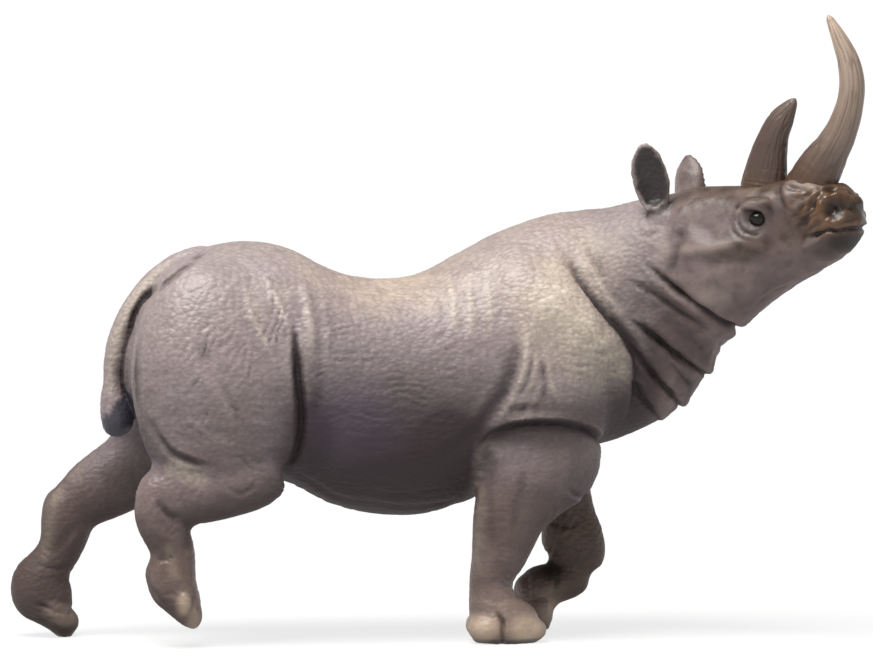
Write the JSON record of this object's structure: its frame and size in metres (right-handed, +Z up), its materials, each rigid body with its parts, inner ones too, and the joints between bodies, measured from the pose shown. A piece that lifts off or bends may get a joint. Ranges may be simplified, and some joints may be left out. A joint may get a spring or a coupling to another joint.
{
  "type": "rhinoceros figurine",
  "caption": "Hand-painted vinyl rhinoceros at a walk, head raised and turned to its right, with two horns; it stands on its own feet.",
  "frame": {"origin": "on the floor plane of the soles, under the middle of the figure's box in X and Y", "axes": "+X the way the body walks, along its longest extent; +Y its left side; +Z up"},
  "size_m": [0.1651, 0.0614, 0.1241],
  "materials": {
    "painted_vinyl": "satin, hand painted with a dark wash in the folds and a light dry brush on the ridges"
  },
  "bodies": {
    "root": {"rhinoceros": "painted_vinyl"}
  },
  "joints": []
}
